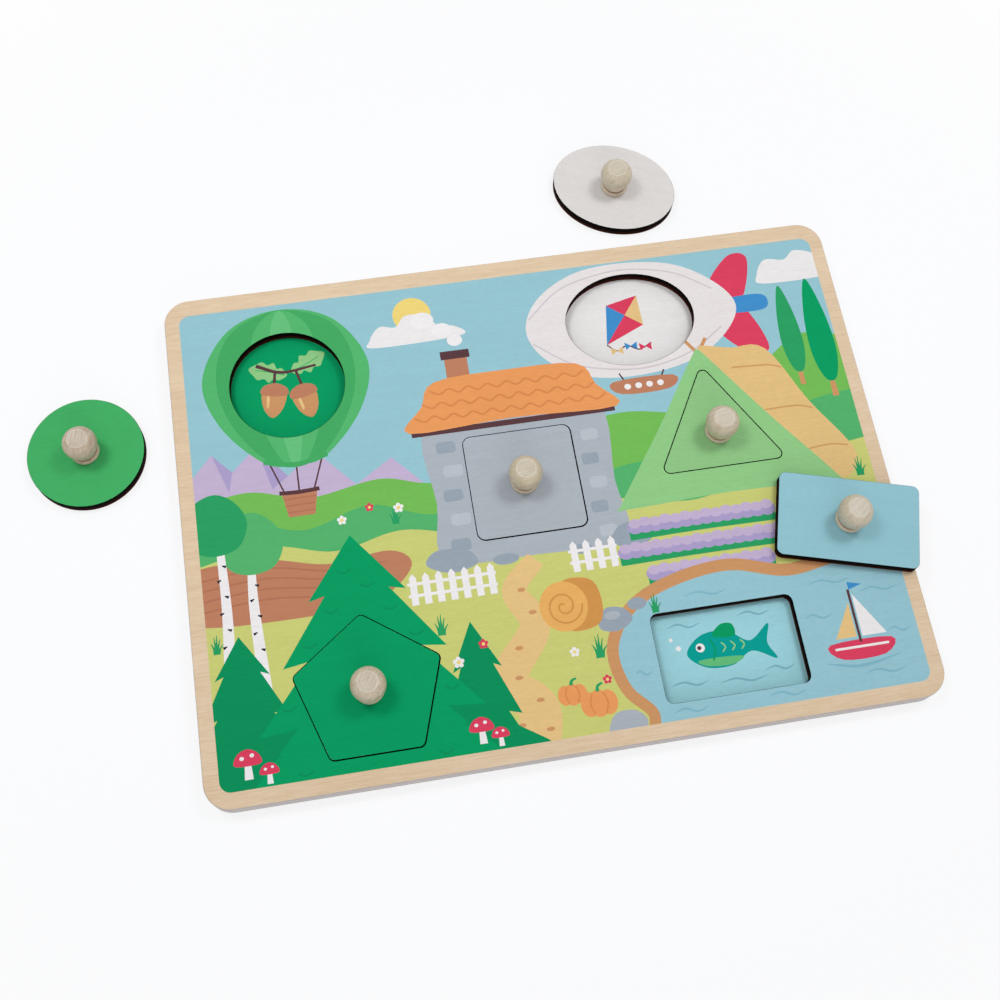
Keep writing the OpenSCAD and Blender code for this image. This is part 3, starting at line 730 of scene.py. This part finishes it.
# A printed sheet: its painted top, walls that go down from every open edge of it, and the same
# triangles turned over as the underside. levels are the outer rim's steps outwards and its heights. The
# walls of the cut-outs go straight down in as many even steps.
def printedSheet(name, levels, holes, guides, art, materials):
    half = np.array([board["length"], board["width"]]) / 2
    r = board["cornerRadius"]
    inset = -levels[0][0]
    sheet = rectangleOutline((board["length"] - 2 * inset, board["width"] - 2 * inset, r - inset))
    low, high = np.array(board["printLow"]), np.array(board["printHigh"])
    window = rectangleOutline((*(high - low), board["printRadius"])) + (low + high) / 2
    flat, triangles, colours, inked, scorched = paintedTriangles(sheet, window, holes, guides, art)
    count, drops = len(flat), len(levels) - 1
    edges = openEdges(triangles)

    # points of the outer rim lie r - inset from the rounded corners' core, and move straight away from it
    rim = np.unique(edges)
    away = flat[rim] - np.clip(flat[rim], -(half - r), half - r)
    distance = np.linalg.norm(away, axis=1)
    outer = (np.abs(distance - (r - inset)) < 0.02) & np.any(np.abs(flat[rim]) > half - r - 0.01, axis=1)
    unit = away / np.maximum(distance, 1e-9)[:, None] * outer[:, None]
    topHeight, lowHeight = levels[0][1], levels[-1][1]
    rings = []
    for k, (out, z) in enumerate(levels[1:-1], 1):
        heights = np.where(outer, z, topHeight + (lowHeight - topHeight) * k / drops)
        rings.append(np.column_stack([flat[rim] + unit * (out + inset), heights]))
    top = np.column_stack([flat, np.full(count, topHeight)])
    bottom = np.column_stack([flat, np.full(count, lowHeight)])
    bottom[rim, :2] += unit * (levels[-1][0] + inset)
    points = np.vstack([top] + rings + [bottom])

    # steps give, for each point of the top, its number at every level
    place = np.zeros(count, int)
    place[rim] = np.arange(len(rim))
    starts = count + len(rim) * np.arange(len(rings) + 1)
    steps = [np.arange(count)] + [start + place for start in starts[:-1]] + [starts[-1] + np.arange(count)]
    isOuter = np.zeros(count, bool)
    isOuter[rim] = outer
    a, b = edges[:, 0], edges[:, 1]
    walls = np.vstack([np.stack([up[a], down[a], down[b], up[b]], 1) for up, down in zip(steps[:-1], steps[1:])])
    under = steps[-1][triangles[:, ::-1]]
    plain = len(walls) + len(under)
    kinds = np.concatenate([scorched, np.tile(np.where(isOuter[a], 2, 1), drops), np.full(len(under), 2)])
    fromEdge = np.full(len(points), 1.0)
    fromEdge[rim[~outer]] = board["cutReach"]
    fromEdge[count:starts[-1]] = -board["sheet"] * np.repeat(np.arange(1, drops), len(rim)) / drops
    fromEdge[steps[-1][rim]] = -board["sheet"]
    values = {"print": ("FACE", np.vstack([colours, np.ones((plain, 4))])), "fromEdge": ("POINT", fromEdge),
              "inked": ("FACE", np.concatenate([inked, np.zeros(plain)]))}
    faces = triangles.tolist() + walls.tolist() + under.tolist()
    print(name, "triangles", len(faces))
    return makePiece(name, points, faces, materials, kinds, values)


# The rim's quarter round: outwards by the sine and down by the cosine of a turn from 0 to 90 degrees
def rimLevels(z, toZ, easedTop):
    t = np.linspace(0, np.pi / 2, board["rimSteps"])
    r = board["rim"]
    if easedTop:
        return [(-r + r * math.sin(a), z - r + r * math.cos(a)) for a in t] + [(0, toZ)]
    return [(0, z)] + [(-r + r * math.cos(a), toZ + r - r * math.sin(a)) for a in t]


# border is how far in from the edge both faces have a ring, and edgeReach is fromEdge where the ease starts
plateShape = {"thick": 5, "topEase": 0.2, "lowEase": 0.12, "easeSteps": 5, "border": 0.5, "wallHeights": (3.4, 1.7),
              "edgeReach": 0.3, "holeRadius": 1.56, "holeTop": 3.5, "sinkRadius": 2.96, "sinkDepth": 0.3}


# A plate: every ring is the outline moved in or out, or a circle about the screw, and the rings run
# over the top, round the edge, under the plate, into the countersink and back up the hole. With each ring
# go its height and its value of fromEdge. The eases are quarter rounds by the sine and cosine of a turn.
def makePlate(name, piece, materials):
    s = plateShape
    offset = np.array([knobRight.get(name, 0.0), 0.0])
    direction = piece["outline"](piece["size"]) - offset
    direction = direction / np.linalg.norm(direction, axis=1, keepdims=True)
    hole, sink = (direction * s[key] + offset for key in ("holeRadius", "sinkRadius"))
    edge = partial(piece["outline"], piece["size"])
    border = edge(-s["border"])
    t = np.linspace(0, np.pi / 2, s["easeSteps"])
    high, e, f = s["thick"], s["topEase"], s["lowEase"]
    face = [(hole, high, 1), (hole * 0.4 + border * 0.6, high, 1), (border, high, 0.5)]
    out, fall = np.sin(t), np.cos(t)
    face += [(edge(e * x - e), high - e + e * y, s["edgeReach"] * (1 - x)) for x, y in zip(out, fall)]
    wall = [(edge(0), z, z - high + e) for z in (*s["wallHeights"], f)]
    wall += [(edge(f * y - f), f - f * x, -high) for x, y in zip(out[1:], fall[1:])]
    under = [(border, 0), (sink * 0.5 + border * 0.5, 0), (sink, 0), (sink, s["sinkDepth"]),
             (hole, s["sinkDepth"] + s["sinkRadius"] - s["holeRadius"]), (hole, s["holeTop"])]
    rings = face + wall + [(ring, z, -high) for ring, z in under]
    count = len(direction)
    flat = np.vstack([turned(ring, piece["turn"]) + piece["at"] for ring, z, value in rings])
    heights = np.repeat([z + piece["foot"] for ring, z, value in rings], count)
    fromEdge = np.repeat([value for ring, z, value in rings], count)
    quads = gridQuads(len(rings), count, closeAll=True)
    row = quads[:, 0] // count
    burnt, plain = len(face) - len(t) + 1, len(face) + len(wall) - 1  # first rows of the edge and of the underside
    return makePiece(name + "Plate", np.column_stack([flat, heights]), quads.tolist(), materials,
                     np.select([row < burnt, row < plain], [0, 1], 2), {"fromEdge": ("POINT", fromEdge)})


# lip holds steps inwards and downwards from the flat's outer edge, and dish is how deep the flat lies. The
# zone of the groove's painted shade is its least and greatest radius and height, and the zone of the painted
# highlight at the flat's edge is its middle and half its width.
knobShape = {"height": 15.5, "radius": 7.15, "wideHeight": 10.4, "flatRadius": 4.3, "headHeight": 4.4,
             "collarRadius": 5.3, "collarHeight": 3.1, "collarEase": 0.4, "grooveRadius": 4.4, "grooveEase": 0.1,
             "footRadius": 6.1, "footHeight": 2.5, "holeRadius": 1.56, "holeDepth": 8.1, "dish": 0.06,
             "lip": ((0, 0.02), (0.1, 0), (0.4, 0), (0.55, 0.06)), "innerFlat": 0.9, "steps": 112,
             "grooveShadeZone": (4, 5.3, 2.2, 3.4), "flatEdgeHighlightZone": (0.2, 0.25), "topZone": 0.5, "sharp": 22}


# Points of a circle's arc between two of its angles
def arc(cx, cy, r, start, end, steps):
    a = np.radians(np.linspace(start, end, steps))
    return np.stack([cx + r * np.cos(a), cy + r * np.sin(a)], 1)


# Radius of an arc that falls away by drop over a run that starts square to the drop
def arcRadius(run, drop):
    return run * run / (2 * drop) + drop / 2


# Half outline of a knob, from the pilot hole round the foot, the groove, the collar and the head to the axis
def knobProfile():
    k = knobShape
    bead, ease, bevel = k["footHeight"] / 2, k["collarEase"], k["grooveEase"]
    rise, fall = k["height"] - k["wideHeight"], k["wideHeight"] - k["headHeight"]
    lower = arcRadius(fall, k["radius"] - k["collarRadius"])
    upper = arcRadius(rise, k["radius"] - k["flatRadius"])
    lowAngle, topAngle = math.degrees(math.asin(fall / lower)), math.degrees(math.asin(rise / upper))
    start = [(0, k["holeDepth"]), (k["holeRadius"], k["holeDepth"]), (k["holeRadius"], 0)]
    foot = arc(k["footRadius"] - bead, bead, bead, -90, 90, 14)
    inner = k["grooveRadius"]
    groove = [(inner + bevel, k["footHeight"]), (inner, k["footHeight"] + bevel),
              (inner, k["collarHeight"] - bevel), (inner + bevel, k["collarHeight"])]
    collar = arc(k["collarRadius"] - ease, k["collarHeight"] + ease, ease, -90, 0, 6)
    head = arc(k["radius"] - lower, k["wideHeight"], lower, -lowAngle, 0, 18)
    crown = arc(k["radius"] - upper, k["wideHeight"], upper, 0, topAngle - 1, 22)[1:]
    facet = [k["flatRadius"], k["height"]] - np.array(k["lip"])
    rest = np.linspace(k["flatRadius"] - k["innerFlat"], 0.0, 9)
    top = np.stack([rest, np.full(9, k["height"] - k["dish"])], 1)
    return np.vstack([start, foot, groove, collar, head, crown, facet, top])


# A knob: the half outline carried round its axis by cosine and sine. A point on the axis closes each end.
def makeKnob(name, piece, material):
    profile, steps = knobProfile(), knobShape["steps"]
    length = np.concatenate([[0], np.cumsum(np.linalg.norm(np.diff(profile, axis=0), axis=1))])
    a = np.linspace(0, 2 * np.pi, steps, endpoint=False)
    body = profile[1:-1]
    r, z = body[:, 0], body[:, 1]
    grid = np.stack([r[:, None] * np.cos(a), r[:, None] * np.sin(a), np.repeat(z[:, None], steps, 1)], 2)
    points = np.vstack([grid.reshape(-1, 3), [[0, 0, profile[0, 1]], [0, 0, profile[-1, 1]]]])
    axis = turned(np.array([knobRight.get(name, 0.0), 0.0]), piece["turn"]) + piece["at"]
    points = points + [*axis, piece["foot"] + plateShape["thick"]]
    quads = gridQuads(len(body), steps)[:, ::-1]
    i = np.arange(steps)
    after, low = (i + 1) % steps, len(body) * steps
    last = low - steps
    fans = np.vstack([np.stack([np.full(steps, low), i, after], 1),
                      np.stack([last + after, last + i, np.full(steps, low + 1)], 1)])
    # Masks of painted light: painted shade in the groove, a painted highlight at the flat's edge, painted sheen on
    # the flat
    r0, r1, z0, z1 = knobShape["grooveShadeZone"]
    middle, reach = knobShape["flatEdgeHighlightZone"]
    onTop = z > knobShape["height"] - knobShape["topZone"]
    zones = {"groove": (r > r0) & (r < r1) & (z > z0) & (z < z1),
             "flatEdgeHighlight": (np.abs(r - knobShape["flatRadius"] + middle) < reach) & onTop,
             "flat": (r < knobShape["flatRadius"]) & onTop}
    values = {"along": ("POINT", np.concatenate([np.repeat(length[1:-1], steps), length[[0, -1]]]))}
    for key, zone in zones.items():
        values[key] = "POINT", np.concatenate([np.repeat(zone * 1.0, steps), [0, key == "flat"]])
    faces = quads.tolist() + fans.tolist()
    return makePiece(name + "Knob", points, faces, [material], None, values, knobShape["sharp"])


# Build the board

topInk = printedTop("screen print on birch plywood")
floorInk = printedTop("screen print on birch plywood, recess floors")
cutEdge = burntEdge("laser cut plywood edge")
outerEdge = sandedEdge("sanded plywood edge and underside")

sheetHeight, guideInset = board["sheet"], board["guideInset"]
holes = [homeOutline(piece, cutGap) for piece in pieces.values()]
guides = [rectangleOutline((board["length"] - 2 * guideInset, board["width"] - 2 * guideInset,
                            board["cornerRadius"] - guideInset))]
guides += [homeOutline(piece, cutGap + board["scorch"]) for piece in pieces.values()]
topSheet = printedSheet("topSheet", rimLevels(2 * sheetHeight, sheetHeight, True), holes, guides, boardPicture(),
                        [topInk, cutEdge, outerEdge])
baseSheet = printedSheet("baseSheet", rimLevels(sheetHeight, 0, False), [], [], hiddenPictures(),
                         [floorInk, cutEdge, outerEdge])
for sheet, node, slot in ((topSheet, "top_board", "top_plywood"), (baseSheet, "base_board", "base_plywood")):
    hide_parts(node)
    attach(sheet, "board")
print("board done")

# Build the shaped pieces

# Each knob's mid and dark tone, the turn of its fibres in degrees and how strongly they show
knobTones = {"circle": ("#bfaf9a", "#b39f89", 80, 0.9), "oval": ("#cdc2ab", "#c1b39b", 10, 0.45),
             "triangle": ("#c7bca5", "#bbac95", 20, 0.5), "square": ("#c8bba3", "#bdae95", 15, 0.65),
             "pentagon": ("#c9bca6", "#beae97", 50, 1.0), "rectangle": ("#c9bfaa", "#beb29b", 40, 0.6)}
zinc = zincPlate("zinc plated steel")
for name, piece in pieces.items():
    ink = printedTop("matt " + piece["inkName"] + " ink on birch plywood", piece["ink"], piece["turn"])
    plate = makePlate(name, piece, [ink, cutEdge, outerEdge])
    knob = makeKnob(name, piece, turnedBeech("turned beech, " + name, *knobTones[name]))
    for part, node, slot in ((plate, name + "_plate", name + "_paint"), (knob, name + "_knob", "knob_wood")):
        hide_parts(node)
        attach(part, name + "_piece")
    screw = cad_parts[name + "_screw"]
    screw.data.materials.clear()
    screw.data.materials.append(zinc)
print("pieces done")

# Floor, light and camera, in metres

studio = {"floorSize": 6.0, "floorHeight": -0.0002, "paper": ((0.3, "#eaedf5"), (0.7, "#f0f3fa")),
          "fibre": (1.5, 1.5, 1.5), "shadowReach": (0.2, 0.45), "backgroundShare": 0.8, "worldStrength": 0.49}


# White paper sweep. Camera rays see it partly as plain white, so the object's shadow stays but is faint,
# and wholly as plain white further out than the shadow reaches.
def paperFloor():
    material, add = newMaterial("white paper sweep")
    seen = add("LightPath", output="Is Camera Ray")
    for kind in ("Is Glossy Ray", "Is Transmission Ray"):
        seen = add("Math", {0: seen, 1: add("LightPath", output=kind)}, operation="MAXIMUM")
    fibres = grain(add, studio["fibre"], 0, 3)
    paper = add("BsdfDiffuse", {"Color": add("ValToRGB", {0: fibres}, stops=studio["paper"])})
    white = add("Emission", {"Color": (1, 1, 1, 1), "Strength": 1.0})
    away = add("VectorMath", {0: add("TexCoord", output="Object")}, "Value", operation="LENGTH")
    near, far = studio["shadowReach"]
    plain = add("MapRange", {0: away, 1: near, 2: far, 3: studio["backgroundShare"], 4: 1.0}, **eased)
    share = add("Math", {0: seen, 1: plain}, operation="MULTIPLY")
    add("OutputMaterial", {"Surface": add("MixShader", {0: share, 1: paper, 2: white})})
    return material


half = studio["floorSize"] / 2
corners = [(half * x, half * y, studio["floorHeight"]) for x, y in ((-1, -1), (1, -1), (1, 1), (-1, 1))]
floorMesh = bpy.data.meshes.new("floor")
floorMesh.from_pydata(corners, [], [(0, 1, 2, 3)])
floorMesh.materials.append(paperFloor())
floor = bpy.data.objects.new("floor", floorMesh)
scene.collection.objects.link(floor)

world = bpy.data.worlds.new("studio")
scene.world = world
world.use_nodes = True
world.node_tree.nodes.clear()
add = partial(addNode, world.node_tree)
seen = add("LightPath", output="Is Camera Ray")
strength = add("MapRange", {0: seen, 3: studio["worldStrength"], 4: 1.0})
add("OutputWorld", {"Surface": add("Background", {"Color": (1, 1, 1, 1), "Strength": strength})})

# Two softboxes high above the board's ends, each with a grid so that it mostly lights its own end, and a
# large low one in front that fills the shadows
lamps = {"left": {"at": (-0.42, 0.24, 0.95), "to": (-0.17, 0.075, 0), "size": 0.3, "spread": 72, "power": 0.585},
         "right": {"at": (0.46, 0.22, 0.95), "to": (0.13, 0.075, 0), "size": 0.3, "spread": 72, "power": 0.595},
         "front": {"at": (0.0, -0.95, 0.32), "to": (0, 0, 0), "size": 0.6, "spread": 180, "power": 1.9}}
for name, lamp in lamps.items():
    light = bpy.data.lights.new(name + "Softbox", "AREA")
    light.shape, light.size, light.energy = "SQUARE", lamp["size"], lamp["power"]
    light.spread = math.radians(lamp["spread"])
    box = bpy.data.objects.new(name + "Softbox", light)
    box.location = lamp["at"]
    box.rotation_euler = (Vector(lamp["to"]) - box.location).to_track_quat("-Z", "Y").to_euler()
    scene.collection.objects.link(box)

# Camera fitted to the photo's view: where it stands, where it looks, its right-hand side, and the small
# shift by which the picture was trimmed off its optical axis
view = {"at": (-0.067568, -0.187411, 0.541090), "ahead": (0.096326, 0.355244, -0.929797),
        "right": (0.985711, -0.163734, 0.039561), "lens": 48.203, "shift": (-0.0043, -0.0398)}
ahead = Vector(view["ahead"]).normalized()
right = Vector(view["right"])
right = (right - ahead * right.dot(ahead)).normalized()
up = right.cross(ahead)
camera = bpy.data.objects.new("camera", bpy.data.cameras.new("camera"))
camera.data.lens, camera.data.sensor_width = view["lens"], 36
camera.data.shift_x, camera.data.shift_y = view["shift"]
camera.data.clip_start = 0.01
turn = Matrix((right, up, -ahead)).transposed().to_4x4()
camera.matrix_world = Matrix.Translation(view["at"]) @ turn
scene.collection.objects.link(camera)
scene.camera = camera
bpy.context.scene.view_settings.view_transform = "Standard"
